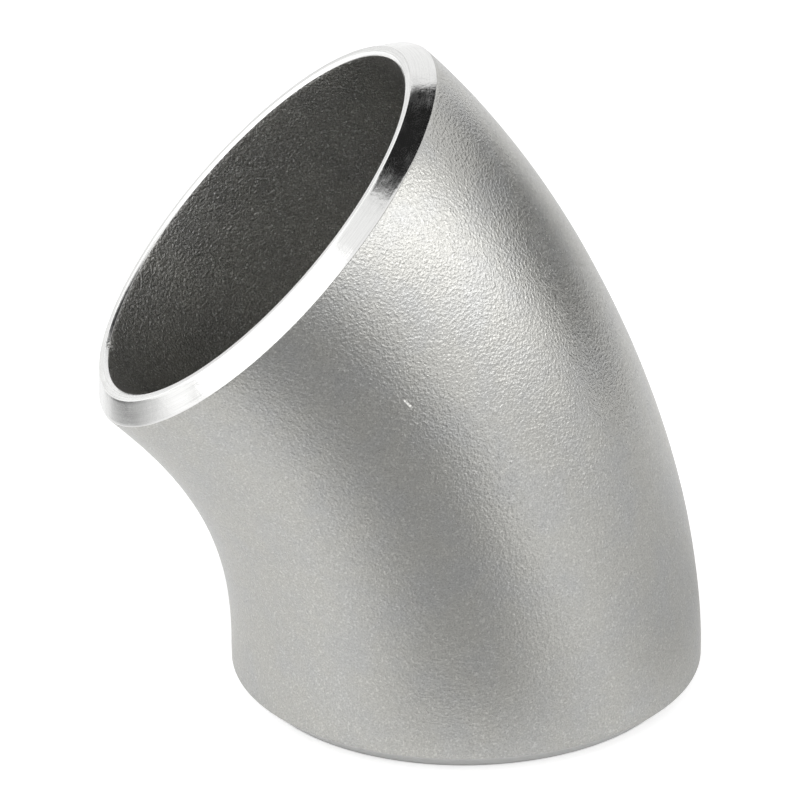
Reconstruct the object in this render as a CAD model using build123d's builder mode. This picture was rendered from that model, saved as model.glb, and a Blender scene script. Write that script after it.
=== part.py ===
from build123d import *
from math import cos, pi, radians, sin, tan
import os

# Forty-five degree butt weld elbow in stainless steel, formed from seamless tube, one piece.
# The origin is the centre of the lower root face. +Z runs up the axis of the lower end, and the
# bend turns towards -X in the XZ plane, so the outer side of the bend (the extrados) faces +X.
# All lengths are in millimetres and all angles in degrees.

# Driving dimensions of the tube and its bend
outside_diameter = 57.0
wall = 3.5
bend_radius = 76.0
bend_angle = 45.0
end_straight = 3.5

# Forming squeezes the round tube in the plane of the bend, more on the extrados than on the
# intrados. Both values are the distance at mid bend from the true circle to the formed surface.
extrados_flattening = 1.0
intrados_flattening = 0.6
# How the flattening grows from nothing at the end straights: a power of a half sine wave. A power
# above 1 lets the straights run into the bend without a kink.
flattening_power = 1.5

# Weld preparation, turned alike on both ends: a bevel, a flat root face and a small chamfer that
# dresses the edge of the bore. The bevel's angle is measured from the root face.
root_face_width = 0.85
bevel_angle = 42.0
mouth_chamfer_width = 0.4
mouth_chamfer_depth = 0.3

# Stations at which the section of the bend is drawn, counted as spans between them
bend_spans = 6

# Sizes that follow from the driving dimensions
outer_radius = outside_diameter / 2
bore_radius = outer_radius - wall
mouth_radius = bore_radius + mouth_chamfer_width
root_radius = mouth_radius + root_face_width
bevel_height = (outer_radius - root_radius) * tan(radians(bevel_angle))
centre_to_end = end_straight + bend_radius * tan(radians(bend_angle / 2))


def bend_plane(angle):
    """Plane square to the centre line, at an angle round the bend from the lower straight.

    Its own X axis lies along +Y, across the plane of the bend, and its own Y axis points at the
    centre of the bend.
    """
    turn = radians(angle)
    centre = (bend_radius * (cos(turn) - 1), 0, end_straight + bend_radius * sin(turn))
    along = (-sin(turn), 0, cos(turn))
    return Plane(origin=centre, x_dir=(0, 1, 0), z_dir=along)


def bend_sections(radius):
    """The oval at each station of the bend, formed from a round tube of the given radius."""
    sections = []
    for station in range(bend_spans + 1):
        share = station / bend_spans
        growth = abs(sin(pi * share)) ** flattening_power
        extrados_loss = extrados_flattening * growth
        intrados_loss = intrados_flattening * growth
        half_depth = radius - (extrados_loss + intrados_loss) / 2
        towards_centre = (extrados_loss - intrados_loss) / 2
        with BuildSketch(bend_plane(bend_angle * share)) as oval:
            with Locations((0, towards_centre)):
                Ellipse(radius, half_depth)
        sections.append(oval.sketch.face())
    return sections


# The radial half plane of each end: its origin is the centre of the root face, its X axis runs
# out along +Y and its own Y axis runs from the root face into the elbow.
upper_turn = radians(bend_angle)
upper_along = Vector(-sin(upper_turn), 0, cos(upper_turn))
upper_end_centre = bend_plane(bend_angle).origin + upper_along * end_straight
lower_end_plane = Plane.YZ
upper_end_plane = Plane(
    origin=upper_end_centre,
    x_dir=(0, 1, 0),
    z_dir=(-cos(upper_turn), 0, -sin(upper_turn)),
)

outer_sections = bend_sections(outer_radius)
bore_sections = bend_sections(bore_radius)

with BuildPart() as elbow_body:
    # The bend, as a skin through its oval sections, then its bore a wall's thickness inside
    loft(outer_sections)
    loft(bore_sections, mode=Mode.SUBTRACT)

    # The two round end straights, each turned about its own axis with its mouth chamfer, its
    # root face and its weld bevel
    for end_plane in (lower_end_plane, upper_end_plane):
        with BuildSketch(end_plane):
            with BuildLine():
                Polyline(
                    (mouth_radius, 0),
                    (root_radius, 0),
                    (outer_radius, bevel_height),
                    (outer_radius, end_straight),
                    (bore_radius, end_straight),
                    (bore_radius, mouth_chamfer_depth),
                    close=True,
                )
            make_face()
        revolve(axis=Axis(end_plane.origin, end_plane.y_dir))

elbow_body.part.label = "elbow_body"

os.makedirs("parts", exist_ok=True)
export_step(elbow_body.part, "parts/elbow_body.step")

print("centre to end", round(centre_to_end, 3))
print("bevel height", round(bevel_height, 3))
print("upper end centre", tuple(round(value, 3) for value in upper_end_centre))
print("volume", round(elbow_body.part.volume, 1), "valid", elbow_body.part.is_valid)
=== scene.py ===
# %% [markdown]
# # A forty-five degree butt weld elbow
# The real object is one piece of stainless steel tube. It was pushed round its bend, blasted and
# pickled to an even satin skin, and then both ends were turned in a lathe for welding. The model
# keeps to that order: shape the tube, cut the ends, then give each face its own finish.

# %% Load the fixed frame and keep its box
import math

import bpy
import numpy as np
from mathutils import Matrix, Vector


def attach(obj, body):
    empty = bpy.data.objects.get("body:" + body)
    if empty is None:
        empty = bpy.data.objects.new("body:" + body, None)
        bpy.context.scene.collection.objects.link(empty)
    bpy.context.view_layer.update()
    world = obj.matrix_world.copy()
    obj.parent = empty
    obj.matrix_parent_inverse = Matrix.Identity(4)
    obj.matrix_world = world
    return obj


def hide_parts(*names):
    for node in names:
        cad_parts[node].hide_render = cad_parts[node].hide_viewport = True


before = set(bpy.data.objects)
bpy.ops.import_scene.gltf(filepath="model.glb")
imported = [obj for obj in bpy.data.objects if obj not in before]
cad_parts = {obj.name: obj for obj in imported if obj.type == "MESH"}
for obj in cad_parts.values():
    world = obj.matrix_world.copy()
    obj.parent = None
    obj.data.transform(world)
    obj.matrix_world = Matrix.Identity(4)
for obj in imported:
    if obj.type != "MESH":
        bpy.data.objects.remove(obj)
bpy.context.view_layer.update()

# %% [markdown]
# ## The sizes of the tube
# These are the sizes that the solid has, in metres. Blender's piece has to follow them, because
# pipe is welded to it: only the grain, the nicks and the tool marks are new.

# %% Sizes
mm = 0.001
outer_radius = 28.5 * mm
bore_radius = 25.0 * mm
mouth_radius = 25.4 * mm
root_radius = 26.25 * mm
bevel_height = 2.0259 * mm
mouth_depth = 0.3 * mm
straight = 3.5 * mm
bend_radius = 76.0 * mm
half_turn = math.radians(22.5)
extrados_flattening = 1.0 * mm
intrados_flattening = 0.6 * mm
bend_centre = Vector((-bend_radius, 0, straight))

points_around = 360
half_steps = 46

# %% [markdown]
# ## Helpers for working as by hand
# Every operator works on what is selected, so one helper clears the selection and one picks
# points by their place, as a hand would with a box select.


# %% Helpers for selecting
def deselect_everything():
    if bpy.context.object and bpy.context.object.mode != "OBJECT":
        bpy.ops.object.mode_set(mode="OBJECT")
    bpy.ops.object.select_all(action="DESELECT")


def places_of(piece):
    """All points of a piece as three rows of numbers: x, y and z."""
    places = np.empty(len(piece.data.vertices) * 3)
    piece.data.vertices.foreach_get("co", places)
    return places.reshape(-1, 3).T


def pick_points(piece, wanted):
    """Select the points of a piece for which wanted(x, y, z) is true, and stay in edit mode."""
    bpy.ops.mesh.select_mode(type="VERT")
    bpy.ops.mesh.select_all(action="DESELECT")
    bpy.ops.object.mode_set(mode="OBJECT")
    flags = wanted(*places_of(piece))
    piece.data.vertices.foreach_set("select", flags)
    bpy.ops.object.mode_set(mode="EDIT")
    return int(flags.sum())


# %% [markdown]
# ## One end of the tube
# A ring of points the size of the tube is pulled down and drawn in, ring by ring: the straight,
# the weld bevel, the flat root face, the small chamfer at the mouth, and back up inside the bore.
# Drawing the section ring by ring gives clean loops, which a boolean cut wouldn't.

# %% The lower end
deselect_everything()
bpy.ops.mesh.primitive_circle_add(vertices=points_around, radius=outer_radius, fill_type="NOTHING",
                                  location=(0, 0, straight))
elbow = bpy.context.object
elbow.name = "formed_elbow"
bpy.ops.object.transform_apply(location=True, rotation=True, scale=True)
bpy.ops.object.mode_set(mode="EDIT")
bpy.ops.mesh.select_all(action="SELECT")

ring_radius = outer_radius
ring_height = straight


def pull_ring(radius, height):
    """Extrude the selected ring to a new radius and a new height above the root face."""
    global ring_radius, ring_height
    bpy.ops.mesh.extrude_edges_move(TRANSFORM_OT_translate={"value": (0, 0, height - ring_height)})
    share = radius / ring_radius
    bpy.ops.transform.resize(value=(share, share, 1), center_override=(0, 0, 0))
    ring_radius, ring_height = radius, height


pull_ring(outer_radius, bevel_height + 0.55 * mm)
pull_ring(outer_radius, bevel_height)
bevel_rings = 8
for ring in range(1, bevel_rings + 1):
    share = ring / bevel_rings
    pull_ring(outer_radius + (root_radius - outer_radius) * share, bevel_height * (1 - share))
pull_ring(root_radius - 0.42 * mm, 0)
pull_ring(mouth_radius, 0)
pull_ring(bore_radius, mouth_depth)
pull_ring(bore_radius, mouth_depth + 0.6 * mm)
pull_ring(bore_radius, mouth_depth + 1.8 * mm)
pull_ring(bore_radius, straight)
print("end drawn with", len(elbow.data.vertices), "points before the edges are eased")


# %% [markdown]
# ## Ease the turned edges
# A lathe leaves an edge that feels sharp but still catches the light, because it is a few
# hundredths of a millimetre round. A bevel operator on the ring edges makes that glint real.

# %% Ease the four ring edges
def pick_ring_edges(piece, rings, tolerance=0.002 * mm):
    """Select the edges that run round the end at the given (radius, height) pairs."""
    def on_ring(x, y, z):
        near = [(abs(np.hypot(x, y) - r) < tolerance) & (abs(z - h) < tolerance) for r, h in rings]
        return np.any(near, axis=0)
    pick_points(piece, on_ring)
    bpy.ops.mesh.select_mode(type="EDGE")


pick_ring_edges(elbow, [(outer_radius, bevel_height)])
bpy.ops.mesh.bevel(offset=0.10 * mm, segments=3, affect="EDGES")
pick_ring_edges(elbow, [(root_radius, 0), (mouth_radius, 0), (bore_radius, mouth_depth)])
bpy.ops.mesh.bevel(offset=0.05 * mm, segments=2, affect="EDGES")

# %% [markdown]
# ## The bend
# The outer ring and the bore ring are spun together about the centre of the bend, for half of the
# forty-five degrees. A spin keeps every section square to the centre line, as forming does.

# %% Spin half of the bend
pick_points(elbow, lambda x, y, z: z > straight - 0.001 * mm)
bpy.ops.mesh.spin(steps=half_steps, angle=half_turn, center=bend_centre, axis=(0, 1, 0))
print("half of the bend spun:", half_steps, "steps")

# %% [markdown]
# ## The squeeze of forming
# Forming presses the section a little flat in the plane of the bend: a millimetre on the outer
# side, a little over half of that inside. Each ring is scaled about one fixed point of the
# section, and the share follows the same half sine wave as the solid.


# %% Flatten each ring of the bend
def turn_of(x, z):
    """How far round the bend a point lies, in radians."""
    return np.arctan2(z - bend_centre.z, x - bend_centre.x)


def reach_of(x, y, z):
    """Distance of a point from the centre line of the bend."""
    return np.hypot(np.hypot(x - bend_centre.x, z - bend_centre.z) - bend_radius, y)


flattening = extrados_flattening + intrados_flattening
fixed_share = (intrados_flattening - extrados_flattening) / flattening
middle_radius = (outer_radius + bore_radius) / 2
step_turn = half_turn / half_steps


def ring_of(turn, outside):
    """A test that picks the outer ring, or the bore's ring, at one turn of the bend."""
    def wanted(x, y, z):
        at_turn = abs(turn_of(x, z) - turn) < step_turn / 4
        return at_turn & ((reach_of(x, y, z) > middle_radius) == outside) & (z > straight)
    return wanted


for step in range(1, half_steps + 1):
    turn = step * step_turn
    growth = math.sin(math.pi * turn / (2 * half_turn)) ** 1.5
    radial = Vector((math.cos(turn), 0, math.sin(turn)))
    along = Vector((-math.sin(turn), 0, math.cos(turn)))
    for skin_radius, outside in ((outer_radius, True), (bore_radius, False)):
        pick_points(elbow, ring_of(turn, outside))
        fixed_point = bend_centre + radial * (bend_radius + skin_radius * fixed_share)
        share = 1 - flattening * growth / (2 * skin_radius)
        bpy.ops.transform.resize(value=(share, 1, 1), orient_type="GLOBAL", orient_matrix_type="GLOBAL",
                                 orient_matrix=(radial, (0, 1, 0), along),
                                 constraint_axis=(True, False, False), center_override=fixed_point)
bpy.ops.object.mode_set(mode="OBJECT")
x, y, z = places_of(elbow)
middle = abs(turn_of(x, z) - half_turn) < step_turn / 4
reach = np.hypot(x[middle] - bend_centre.x, z[middle] - bend_centre.z) - bend_radius
print("mid bend section", [round(v / mm, 3) for v in (reach.max(), reach.min())], "mm from the centre line")

# %% [markdown]
# ## The other half
# The elbow is the same from either end, so the second half is a mirror image of the first in the
# plane that halves the bend. An empty stands in that plane, with its Z axis square to it.

# %% Mirror the half across the middle of the bend
mirror_plane = bpy.data.objects.new("middle_of_the_bend", None)
bpy.context.scene.collection.objects.link(mirror_plane)
mirror_plane.matrix_world = Matrix.Translation(bend_centre) @ Matrix.Rotation(-half_turn, 4, "Y")
bpy.context.view_layer.update()
mirror = elbow.modifiers.new("other half", "MIRROR")
mirror.use_axis = (False, False, True)
mirror.mirror_object = mirror_plane
mirror.merge_threshold = 0.01 * mm
bpy.ops.object.modifier_apply(modifier=mirror.name)
bpy.data.objects.remove(mirror_plane)
bpy.ops.object.mode_set(mode="EDIT")
bpy.ops.mesh.select_all(action="SELECT")
bpy.ops.mesh.remove_doubles(threshold=0.002 * mm)
bpy.ops.mesh.normals_make_consistent(inside=False)
bpy.ops.object.mode_set(mode="OBJECT")
print("elbow closed:", len(elbow.data.vertices), "points,", len(elbow.data.polygons), "faces")

# %% [markdown]
# ## Where each end is
# The turned faces are the same at both ends, so every point is told its place as seen from the
# nearer end: across, along Y and depth, in millimetres, and which way the lathe turned there.
# Two attributes carry this, and one set of finishes then serves both ends.

# %% Tell each point its place from the nearer end
upper_end_centre = bend_centre + Vector((math.cos(2 * half_turn), 0, math.sin(2 * half_turn))) * bend_radius
upper_end_centre += Vector((-math.sin(2 * half_turn), 0, math.cos(2 * half_turn))) * straight
upper_out = Vector((math.cos(2 * half_turn), 0, math.sin(2 * half_turn)))
upper_in = Vector((math.sin(2 * half_turn), 0, -math.cos(2 * half_turn)))


def note_end_places(piece):
    """Write the attributes end_place (millimetres from the nearer end) and round_way (a direction)."""
    points = np.array(places_of(piece))
    upper = turn_of(points[0], points[2]) > half_turn
    from_upper = points - np.array(upper_end_centre)[:, None]
    place = np.where(upper, np.array([np.array(upper_out) @ from_upper, points[1],
                                      np.array(upper_in) @ from_upper]), points)
    reach = np.hypot(place[0], place[1]) + 1e-9
    across, side = -place[1] / reach, place[0] / reach
    way = np.where(upper, np.outer(upper_out, across) + np.outer((0, 1, 0), side),
                   np.outer((1, 0, 0), across) + np.outer((0, 1, 0), side))
    for name, values in (("end_place", place / mm), ("round_way", way)):
        if name not in piece.data.attributes:
            piece.data.attributes.new(name, "FLOAT_VECTOR", "POINT")
        piece.data.attributes[name].data.foreach_set("vector", values.T.ravel())
    return place


end_places = note_end_places(elbow)
print("upper end centre", tuple(round(v / mm, 3) for v in upper_end_centre), "mm")

# %% [markdown]
# ## The slow waves of forming
# A formed tube is never quite even: its skin wanders by a few hundredths of a millimetre over a
# centimetre or two, and a satin reflection shows that at once. A displace modifier with a slow
# cloud texture presses the skin in by up to a tenth of a millimetre. It fades out towards the ends,
# because they were turned true, and it only presses in, so the tube stays inside its size.

# %% Press slow waves into the skin
formed = elbow.vertex_groups.new(name="formed")
fade_levels = 24
levels = np.round(np.clip((end_places[2] - 4 * mm) / (9 * mm), 0, 1) * fade_levels)
for level in range(1, fade_levels + 1):
    formed.add(np.flatnonzero(levels == level).tolist(), level / fade_levels, "REPLACE")
slow_waves = bpy.data.textures.new("slow_waves", "CLOUDS")
slow_waves.noise_scale = 13 * mm
slow_waves.noise_depth = 1
waves = elbow.modifiers.new("slow waves", "DISPLACE")
waves.texture = slow_waves
waves.texture_coords = "LOCAL"
waves.vertex_group = formed.name
waves.mid_level = 1.0
waves.strength = 0.11 * mm
bpy.context.view_layer.objects.active = elbow
before = places_of(elbow)
bpy.ops.object.modifier_apply(modifier=waves.name)
moved = np.linalg.norm(places_of(elbow) - before, axis=0)
print("slow waves move the skin by up to", round(moved.max() / mm, 3), "mm")

# %% [markdown]
# ## Knocks
# The photographed elbow has three small marks from handling: a fleck where something struck the
# skin and threw up a little ridge, and two knocks on the edge of the bore. Each one gets finer
# faces first, and is then pushed in a few nested steps, each narrower than the last, which rounds it.


# %% Knock the skin and the mouth
def distance_from_line(start, end):
    """A function that gives the distance of points from the line between two places."""
    start, end = np.array(start), np.array(end)
    along = (end - start) / np.linalg.norm(end - start)

    def distance(x, y, z):
        from_start = np.array((x, y, z)) - start[:, None]
        share = np.clip(along @ from_start, 0, np.linalg.norm(end - start))
        return np.linalg.norm(from_start - along[:, None] * share, axis=0)
    return distance


def refine_near(piece, start, end, reach, cuts):
    """Cut the faces near a line into smaller ones."""
    distance = distance_from_line(start, end)
    pick_points(piece, lambda x, y, z: distance(x, y, z) < reach)
    bpy.ops.mesh.select_mode(type="FACE")
    bpy.ops.mesh.subdivide(number_cuts=cuts, smoothness=0)


def push_line(piece, start, end, width, push, steps=4):
    """Push the points near a line by a vector, most at the line itself."""
    distance = distance_from_line(start, end)
    for step in range(steps):
        half_width = width / 2 * (1 - step / steps)
        if pick_points(piece, lambda x, y, z: distance(x, y, z) < half_width):
            bpy.ops.transform.translate(value=Vector(push) / steps)


def skin_place(turn_degrees, round_degrees, lift=0.0):
    """A place on the skin: how far round the bend, and how far round the tube from its outer side."""
    turn, way = math.radians(turn_degrees), math.radians(round_degrees)
    radial = Vector((math.cos(turn), 0, math.sin(turn)))
    growth = math.sin(math.pi * turn / (2 * half_turn)) ** 1.5
    half_depth = outer_radius - flattening * growth / 2
    middle = bend_radius + (intrados_flattening - extrados_flattening) * growth / 2
    outward = radial * math.cos(way) + Vector((0, math.sin(way), 0))
    return (bend_centre + radial * (middle + half_depth * math.cos(way))
            + Vector((0, outer_radius * math.sin(way), 0)) + outward * lift), outward


deselect_everything()
elbow.select_set(True)
bpy.context.view_layer.objects.active = elbow
bpy.ops.object.mode_set(mode="EDIT")
fleck_start, outward = skin_place(34.34, 277.5)
fleck_end, outward = skin_place(33.66, 277.70)
refine_near(elbow, fleck_start, fleck_end, 0.9 * mm, 8)
push_line(elbow, fleck_start, fleck_end, 0.56 * mm, outward * 0.11 * mm)
right_of_fleck = Vector((0.24 * mm, 0, 0.19 * mm))
push_line(elbow, fleck_start + right_of_fleck, fleck_end + right_of_fleck, 0.40 * mm, outward * -0.05 * mm)
print("fleck at", [round(v / mm, 2) for v in fleck_start])


def mouth_place(round_degrees, radius, depth):
    """A place at the upper mouth: how far round it from its outer side, its radius and its depth."""
    way = math.radians(round_degrees)
    outward = upper_out * math.cos(way) + Vector((0, math.sin(way), 0))
    return upper_end_centre + outward * radius + upper_in * depth, outward


for round_degrees, spread_degrees, knock in ((341.5, 1.1, 0.17 * mm), (165.8, 0.8, 0.20 * mm)):
    knock_start, outward = mouth_place(round_degrees - spread_degrees, bore_radius, mouth_depth)
    knock_end, outward = mouth_place(round_degrees + spread_degrees, bore_radius, mouth_depth)
    refine_near(elbow, knock_start, knock_end, 0.55 * mm, 3)
    push_line(elbow, knock_start, knock_end, 0.7 * mm, (outward + upper_in) * knock)
    print("mouth knocked at", round_degrees, "degrees")
bpy.ops.object.mode_set(mode="OBJECT")
end_places = note_end_places(elbow)
print("elbow with its marks:", len(elbow.data.vertices), "points")

# %% [markdown]
# ## Helpers for finishes
# A finish is a small tree of nodes. These helpers add a node with its settings and join it up, so
# each finish below reads like a recipe.


# %% Helpers for finishes
def start_finish(name):
    finish = bpy.data.materials.new(name)
    finish.use_nodes = True
    finish.node_tree.nodes.clear()
    output = finish.node_tree.nodes.new("ShaderNodeOutputMaterial")
    surface = finish.node_tree.nodes.new("ShaderNodeBsdfPrincipled")
    finish.node_tree.links.new(surface.outputs["BSDF"], output.inputs["Surface"])
    return finish, surface


def add_node(finish, kind, settings=None, **joins):
    """Add a node; settings are its own choices, joins are sockets to set or to link."""
    node = finish.node_tree.nodes.new("ShaderNode" + kind)
    for setting, value in (settings or {}).items():
        setattr(node, setting, value)
    for socket_name, value in joins.items():
        join(finish, value, socket_of(node, socket_name))
    return node


def socket_of(node, name):
    wanted = name.replace("_", " ").lower()
    if wanted.startswith("in") and wanted[2:].isdigit():
        return node.inputs[int(wanted[2:])]
    return next(socket for socket in node.inputs if socket.name.lower() == wanted and socket.enabled)


def join(finish, value, socket):
    if isinstance(value, bpy.types.NodeSocket):
        finish.node_tree.links.new(value, socket)
    else:
        socket.default_value = value


def sum_up(finish, operation, first, second, clamp=False):
    node = add_node(finish, "Math", {"operation": operation, "use_clamp": clamp}, in0=first, in1=second)
    return node.outputs[0]


def grain(finish, places, size, detail=2.0, rough=0.5, distort=0.0):
    """Noise whose lumps are about the given size, in the unit of the places."""
    return add_node(finish, "TexNoise", {}, vector=places, scale=1 / size, detail=detail,
                    roughness=rough, distortion=distort).outputs["Fac"]


def spread(finish, value, low, high, to_low=0.0, to_high=1.0):
    """Stretch a value from one range to another, held inside it."""
    node = add_node(finish, "MapRange", {"clamp": True}, value=value, from_min=low, from_max=high,
                    to_min=to_low, to_max=to_high)
    return node.outputs["Result"]


def shade_between(finish, share, dark, light):
    node = finish.node_tree.nodes.new("ShaderNodeMix")
    node.data_type = "RGBA"
    join(finish, share, node.inputs[0])
    join(finish, dark, node.inputs[6])
    join(finish, light, node.inputs[7])
    return node.outputs[2]


# %% [markdown]
# ## The blasted and pickled skin
# Blasting leaves a skin of tiny dimples, a quarter to half a millimetre wide, and pickling turns
# it an even, slightly warm grey. Under a lens it is an orange peel with darker pits. Three sizes
# of noise stand for it: the dimples in the bump, their bottoms a little darker, and slow clouds.

# %% The skin outside and the bore
def blasted_skin(name, tone, roughness, dimple_size, dimple_depth, pit_dark, speck_light, cloud_shift):
    finish, surface = start_finish(name)
    places = add_node(finish, "TexCoord").outputs["Object"]
    dimples = grain(finish, places, dimple_size, detail=1.0, rough=0.5)
    fine = grain(finish, places, dimple_size * 0.55, detail=1.0)
    clouds = grain(finish, places, 7 * mm, detail=4.0, rough=0.62)
    height = sum_up(finish, "ADD", dimples, sum_up(finish, "MULTIPLY", fine, 0.30))
    dark = tuple(t * pit_dark for t in tone) + (1,)
    base = shade_between(finish, spread(finish, fine, 0.34, 0.60), dark, tuple(tone) + (1,))
    specks = grain(finish, places, dimple_size * 0.8, detail=0.0)
    light = tuple(min(t * speck_light, 0.95) for t in tone) + (1,)
    base = shade_between(finish, spread(finish, specks, 0.64, 0.74), base, light)
    cooler = shade_between(finish, spread(finish, clouds, 0.42, 0.66), (1, 1, 1, 1),
                           tuple(cloud_shift) + (1,))
    tinted = finish.node_tree.nodes.new("ShaderNodeMix")
    tinted.data_type = "RGBA"
    tinted.blend_type = "MULTIPLY"
    tinted.inputs[0].default_value = 1.0
    join(finish, base, tinted.inputs[6])
    join(finish, cooler, tinted.inputs[7])
    join(finish, tinted.outputs[2], surface.inputs["Base Color"])
    join(finish, spread(finish, dimples, 0.28, 0.72, roughness + 0.05, roughness - 0.05),
         surface.inputs["Roughness"])
    surface.inputs["Metallic"].default_value = 1.0
    bump = add_node(finish, "Bump", {}, strength=1.0, distance=dimple_depth, height=height)
    join(finish, bump.outputs["Normal"], surface.inputs["Normal"])
    return finish


skin_tone = (0.535, 0.531, 0.506)
outer_finish = blasted_skin("blasted_skin", skin_tone, 0.32, 0.34 * mm, 0.068 * mm, 0.82, 1.14, (0.96, 0.97, 1.0))
bore_tone = (0.65, 0.643, 0.615)
bore_finish = blasted_skin("pickled_bore", bore_tone, 0.33, 0.34 * mm, 0.085 * mm, 0.62, 1.5, (0.88, 0.88, 0.90))

# %% [markdown]
# ## The turned faces
# The lathe tool leaves fine rings round the end. They stretch a reflection across themselves, so
# the finish is anisotropic along the way the lathe turned, with streaks that are long round the
# end and a few hundredths of a millimetre wide across it.


# %% The turned faces
def turned_metal(name, tone, roughness, mark_depth, streak_dark):
    finish, surface = start_finish(name)
    place = add_node(finish, "Attribute", {"attribute_name": "end_place"}).outputs["Vector"]
    way = add_node(finish, "Attribute", {"attribute_name": "round_way"}).outputs["Vector"]
    parts = add_node(finish, "SeparateXYZ", {}, vector=place).outputs
    flat = add_node(finish, "CombineXYZ", {}, x=parts[0], y=parts[1], z=0.0).outputs[0]
    reach = add_node(finish, "VectorMath", {"operation": "LENGTH"}, in0=flat).outputs["Value"]
    across = sum_up(finish, "ADD", reach, parts[2])
    slow = 0.10
    streaked = add_node(finish, "CombineXYZ", {}, x=sum_up(finish, "MULTIPLY", parts[0], slow),
                        y=sum_up(finish, "MULTIPLY", parts[1], slow),
                        z=sum_up(finish, "MULTIPLY", across, 9.0)).outputs[0]
    streaks = grain(finish, streaked, 1.0, detail=3.0, rough=0.7)
    blotches = grain(finish, place, 2.2, detail=3.0, rough=0.65)
    specks = grain(finish, place, 0.45, detail=2.0, rough=0.6)
    dark = tuple(t * streak_dark for t in tone) + (1,)
    join(finish, shade_between(finish, spread(finish, streaks, 0.32, 0.56), dark, tuple(tone) + (1,)),
         surface.inputs["Base Color"])
    worn = sum_up(finish, "ADD", spread(finish, streaks, 0.3, 0.7, -0.05, 0.05),
                  spread(finish, blotches, 0.4, 0.7, roughness - 0.03, roughness + 0.06))
    join(finish, worn, surface.inputs["Roughness"])
    surface.inputs["Metallic"].default_value = 1.0
    surface.inputs["Anisotropic"].default_value = 0.6
    join(finish, way, surface.inputs["Tangent"])
    marks = sum_up(finish, "ADD", streaks, sum_up(finish, "MULTIPLY", specks, 2.2))
    marks = sum_up(finish, "ADD", marks, sum_up(finish, "MULTIPLY", blotches, 5.0))
    bump = add_node(finish, "Bump", {}, strength=1.0, distance=mark_depth, height=marks)
    join(finish, bump.outputs["Normal"], surface.inputs["Normal"])
    return finish


bevel_finish = turned_metal("turned_bevel", (0.84, 0.84, 0.83), 0.13, 0.003 * mm, 0.88)
root_finish = turned_metal("turned_root_face", (0.74, 0.74, 0.73), 0.26, 0.004 * mm, 0.82)
mouth_finish = turned_metal("turned_mouth", (0.90, 0.90, 0.89), 0.20, 0.003 * mm, 0.9)

# %% [markdown]
# ## Which face gets which finish
# The faces are picked by their place from the nearer end, as the lathe hand would name them: the
# bore, the mouth chamfer, the root face, the bevel, and everything else is skin.

# %% Give the faces their finishes
for finish in (outer_finish, bore_finish, bevel_finish, root_finish, mouth_finish):
    elbow.data.materials.append(finish)
elbow_faces = elbow.data.polygons
centres = np.zeros(len(elbow_faces) * 3)
elbow_faces.foreach_get("center", centres)
centres = centres.reshape(-1, 3)
corner_lists = np.zeros(len(elbow.data.loops), int)
elbow.data.loops.foreach_get("vertex_index", corner_lists)
starts = np.zeros(len(elbow_faces), int)
elbow_faces.foreach_get("loop_start", starts)
totals = np.zeros(len(elbow_faces), int)
elbow_faces.foreach_get("loop_total", totals)
face_of_corner = np.repeat(np.arange(len(elbow_faces)), totals)


def face_average(point_values):
    return np.bincount(face_of_corner, weights=point_values[corner_lists]) / totals


point_radius = np.hypot(end_places[0], end_places[1])
face_radius, face_depth = face_average(point_radius), face_average(end_places[2])
skin_side = reach_of(*centres.T) > middle_radius
root_depth = 0.02 * mm
slots = np.where(skin_side, 0, 1)
at_end = face_depth < bevel_height - 0.04 * mm
slots[at_end & (face_radius > root_radius)] = 2
slots[(face_depth < root_depth) & (face_radius > mouth_radius) & (face_radius <= root_radius)] = 3
slots[(face_depth < mouth_depth) & (face_radius <= mouth_radius)] = 4
elbow_faces.foreach_set("material_index", slots)
elbow_faces.foreach_set("use_smooth", np.ones(len(elbow_faces), bool))
names = [slot.name for slot in elbow.data.materials]
print({name: int((slots == i).sum()) for i, name in enumerate(names)})
deselect_everything()
elbow.select_set(True)
bpy.context.view_layer.objects.active = elbow
bpy.ops.object.shade_smooth_by_angle(angle=math.radians(35))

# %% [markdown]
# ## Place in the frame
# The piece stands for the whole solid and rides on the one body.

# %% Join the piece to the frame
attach(elbow, "root")
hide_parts("elbow_body")

# %% [markdown]
# ## The camera
# The photograph was taken from far off with a long lens, slightly above the elbow. These numbers
# come from fitting the elbow's own edges: where the camera looks from, and how it is rolled.

# %% Camera
camera_turn = math.radians(-6.3265)
camera_rise = math.radians(24.5659)
camera_roll = math.radians(-0.773)
camera_distance = 664.19 * mm
aim_across, aim_height = -7.643 * mm, 35.322 * mm
back = Vector((math.sin(camera_turn) * math.cos(camera_rise), -math.cos(camera_turn) * math.cos(camera_rise),
               math.sin(camera_rise)))
right = Vector((math.cos(camera_turn), math.sin(camera_turn), 0))
up = back.cross(right)
rolled_right = right * math.cos(camera_roll) + up * math.sin(camera_roll)
rolled_up = up * math.cos(camera_roll) - right * math.sin(camera_roll)
camera_place = right * aim_across + Vector((0, 0, aim_height)) + back * camera_distance
camera_data = bpy.data.cameras.new("photo_camera")
camera_data.lens = 250.87
camera_data.sensor_width = 36
camera_data.clip_start = 0.01
camera_data.clip_end = 20
camera = bpy.data.objects.new("photo_camera", camera_data)
bpy.context.scene.collection.objects.link(camera)
camera.matrix_world = Matrix((
    (rolled_right.x, rolled_up.x, back.x, camera_place.x),
    (rolled_right.y, rolled_up.y, back.y, camera_place.y),
    (rolled_right.z, rolled_up.z, back.z, camera_place.z),
    (0, 0, 0, 1),
))
bpy.context.scene.camera = camera
print("camera at", tuple(round(v, 4) for v in camera_place))
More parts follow.
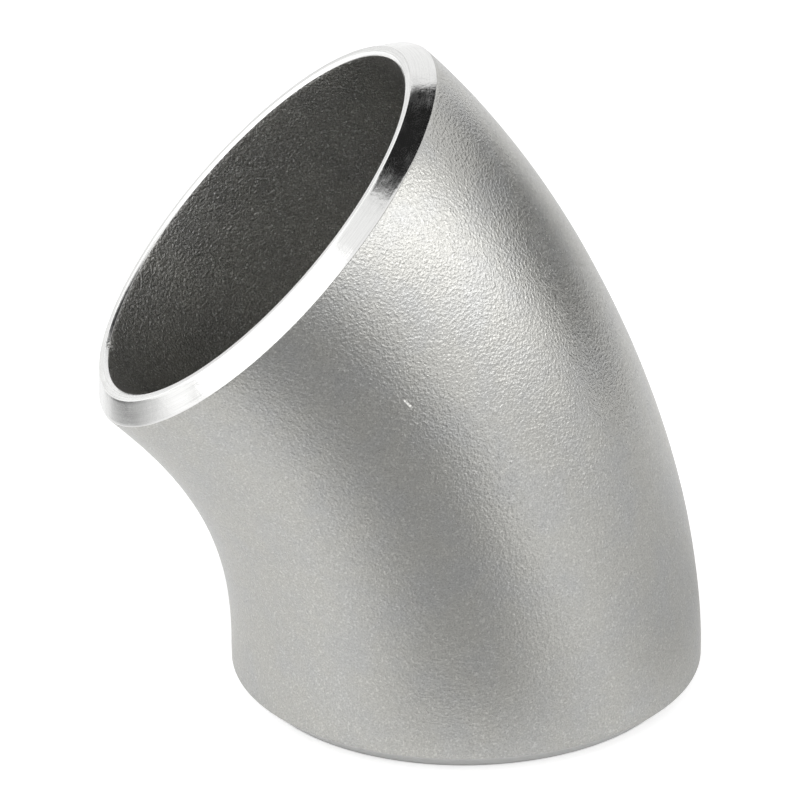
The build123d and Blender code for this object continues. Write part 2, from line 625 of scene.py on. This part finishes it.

# %% [markdown]
# ## The table
# The elbow stands on white paper. To the camera the paper is white with a faint shadow, as in the
# photograph, where the background is cut out. The metal shows more: for glossy rays alone the paper is
# painted grey in front of the elbow, at its right and at its left back, as painted shade it reflects.


# %% Table
def stage_finish(name):
    """A finish with an empty tree, for paper, cards and the room."""
    finish = bpy.data.materials.new(name)
    finish.use_nodes = True
    finish.node_tree.nodes.clear()
    return finish, finish.node_tree.nodes, finish.node_tree.links


elbow_middle = Vector((-8 * mm, 0, 36 * mm))
deselect_everything()
bpy.ops.mesh.primitive_plane_add(size=8, location=(0, 0, -0.05 * mm))
bpy.ops.object.transform_apply(location=True, rotation=True, scale=True)
table = bpy.context.object
table.name = "white_table"
paper_finish, nodes, links = stage_finish("white_paper")
table_places = add_node(paper_finish, "TexCoord").outputs["Object"]
from_elbow = add_node(paper_finish, "VectorMath", {"operation": "SUBTRACT"}, in0=table_places,
                      in1=(elbow_middle.x, 0, 0)).outputs[0]
table_reach = add_node(paper_finish, "VectorMath", {"operation": "LENGTH"}, in0=from_elbow).outputs["Value"]
light_path = add_node(paper_finish, "LightPath")
for_metal = light_path.outputs["Is Glossy Ray"]


def painted_shade_zone(turns, start, end, soft_turns, soft_reach):
    """Where painted shade lies for glossy rays: between two turns, start to end metres, with soft sides."""
    middle = math.radians(sum(turns) / 2)
    half = math.radians(turns[1] - turns[0]) / 2
    first_soft, last_soft = (math.radians(soft) for soft in soft_turns)
    ahead = add_node(paper_finish, "VectorMath", {"operation": "DOT_PRODUCT"}, in0=from_elbow,
                     in1=(math.sin(middle), -math.cos(middle), 0)).outputs["Value"]
    aside = add_node(paper_finish, "VectorMath", {"operation": "DOT_PRODUCT"}, in0=from_elbow,
                     in1=(math.cos(middle), math.sin(middle), 0)).outputs["Value"]
    turn = sum_up(paper_finish, "ARCTAN2", aside, ahead)
    painted_shade_share = for_metal
    for value, low, high in ((turn, -half - first_soft, -half + first_soft),
                             (turn, half + last_soft, half - last_soft),
                             (table_reach, start - soft_reach, start + soft_reach),
                             (table_reach, end + soft_reach, end - soft_reach)):
        painted_shade_share = sum_up(paper_finish, "MULTIPLY", painted_shade_share, spread(paper_finish, value, low, high))
    return painted_shade_share


camera_glow, metal_glow = 0.45, 0.25
paper_white = 0.80
paper_and_painted_shade = (paper_white, paper_white, paper_white, 1)
# The paper's glow for glossy rays is painted out under the elbow's foot and under each grey patch, as painted
# shade.
under_foot = add_node(paper_finish, "VectorMath", {"operation": "LENGTH"}, in0=table_places).outputs["Value"]
metal_glow_outside_shade = spread(paper_finish, under_foot, 27.5 * mm, 31 * mm, 0, metal_glow)
# Each row is painted shade for glossy rays: grey, turns, start, end, soft turns, soft reach. The first two darken
# the ground in front, the first also as shade near the foot; the next three darken the right; the last is the
# elbow's own shadow at the left back, painted on.
for grey, turns, start, end, soft_turns, soft_reach in (
        (0.48, (-27, 32), 42 * mm, 95 * mm, (16, 18), 12 * mm),
        (0.34, (-58, 29), 95 * mm, 900 * mm, (8, 8), 12 * mm),
        (0.70, (60, 125), 42 * mm, 190 * mm, (16, 16), 12 * mm),
        (0.58, (45, 100), 190 * mm, 900 * mm, (8, 8), 25 * mm),
        (0.60, (100, 140), 400 * mm, 900 * mm, (6, 6), 60 * mm),
        (0.12, (-136, -112), 120 * mm, 290 * mm, (5, 14), 25 * mm)):
    painted_shade_share = painted_shade_zone(turns, start, end, soft_turns, soft_reach)
    paper_and_painted_shade = shade_between(paper_finish, painted_shade_share, paper_and_painted_shade, (grey, grey, grey, 1))
    metal_glow_outside_shade = sum_up(paper_finish, "MULTIPLY", metal_glow_outside_shade, sum_up(paper_finish, "SUBTRACT", 1.0, painted_shade_share))
paper = add_node(paper_finish, "BsdfDiffuse", {}, color=paper_and_painted_shade)
glow_for_metal = sum_up(paper_finish, "MULTIPLY", for_metal, metal_glow_outside_shade)
glow_for_camera = sum_up(paper_finish, "MULTIPLY", light_path.outputs["Is Camera Ray"], camera_glow)
glow = add_node(paper_finish, "Emission", {}, color=(1, 1, 1, 1),
                strength=sum_up(paper_finish, "ADD", glow_for_metal, glow_for_camera))
both = add_node(paper_finish, "AddShader")
links.new(paper.outputs[0], both.inputs[0])
links.new(glow.outputs[0], both.inputs[1])
table_output = add_node(paper_finish, "OutputMaterial")
links.new(both.outputs[0], table_output.inputs["Surface"])
table.data.materials.append(paper_finish)
print("table painted with", len(nodes), "nodes")

# %% [markdown]
# ## The room
# The room is an even white tent. The camera sees it as plain white, and so does the metal.

# %% Room
room = bpy.data.worlds.new("white_tent")
bpy.context.scene.world = room
room.use_nodes = True
nodes, links = room.node_tree.nodes, room.node_tree.links
nodes.clear()
tent = nodes.new("ShaderNodeBackground")
tent.inputs["Color"].default_value = (1, 1, 1, 1)
tent.inputs["Strength"].default_value = 1.0
room_output = nodes.new("ShaderNodeOutputWorld")
links.new(tent.outputs[0], room_output.inputs["Surface"])

# %% [markdown]
# ## Lamps and black cards
# Metal shows what stands round it. Two soft lamps at the sides are brighter than the tent, and
# black cards stand where the real studio was dark: behind the camera, at the right and overhead.
# The cards are stage pieces that only the metal and the light can see.


# %% Lamps and cards
def way_to(turn, rise):
    """Direction from the elbow: turn from the camera's side towards +X, rise above the table."""
    turn, rise = math.radians(turn), math.radians(rise)
    return Vector((math.sin(turn) * math.cos(rise), -math.cos(turn) * math.cos(rise), math.sin(rise)))


def soft_lamp(name, turns, rises, distance, radiance):
    """A soft lamp that fills the given turns and rises, as bright as the given radiance."""
    away = way_to(sum(turns) / 2, sum(rises) / 2)
    lamp = bpy.data.lights.new(name, "AREA")
    lamp.shape = "RECTANGLE"
    lamp.size = 2 * distance * math.tan(math.radians(turns[1] - turns[0]) / 2) * math.cos(
        math.radians(sum(rises) / 2))
    lamp.size_y = 2 * distance * math.tan(math.radians(rises[1] - rises[0]) / 2)
    lamp.energy = radiance * math.pi * lamp.size * lamp.size_y
    holder = bpy.data.objects.new(name, lamp)
    holder.location = elbow_middle + away * distance
    holder.rotation_euler = away.to_track_quat("Z", "Y").to_euler()
    holder.visible_camera = False
    bpy.context.scene.collection.objects.link(holder)
    print(name, "is", round(lamp.size, 2), "by", round(lamp.size_y, 2), "m,", round(lamp.energy, 2), "W")


soft_lamp("left_lamp", (-150, -38), (2, 58), 0.8, 0.65)
soft_lamp("right_lamp", (16, 86), (13, 29), 0.8, 1.7)


def card(name, turns, rises, distance, grey):
    """A card that hides the given turns and rises of the tent, seen from the elbow."""
    away = way_to(sum(turns) / 2, sum(rises) / 2)
    deselect_everything()
    bpy.ops.mesh.primitive_plane_add(size=1, location=elbow_middle + away * distance,
                                     rotation=away.to_track_quat("Z", "Y").to_euler())
    piece = bpy.context.object
    piece.name = name
    piece.scale = (2 * distance * math.tan(math.radians(turns[1] - turns[0]) / 2) * math.cos(
        math.radians(sum(rises) / 2)), 2 * distance * math.tan(math.radians(rises[1] - rises[0]) / 2), 1)
    bpy.ops.object.transform_apply(location=True, rotation=True, scale=True)
    finish, nodes, links = stage_finish(name)
    matt = add_node(finish, "BsdfDiffuse", {}, color=(grey, grey, grey, 1))
    output = add_node(finish, "OutputMaterial", {})
    links.new(matt.outputs[0], output.inputs["Surface"])
    piece.data.materials.append(finish)
    piece.visible_camera = False


card("card_overhead", (143, 217), (41.5, 88), 0.8, 0.02)
card("card_right", (95, 140), (-1, 15), 0.9, 0.02)
card("card_behind_camera", (-19, 11), (4, 42), 1.0, 0.40)
bpy.context.scene.view_settings.view_transform = "Standard"
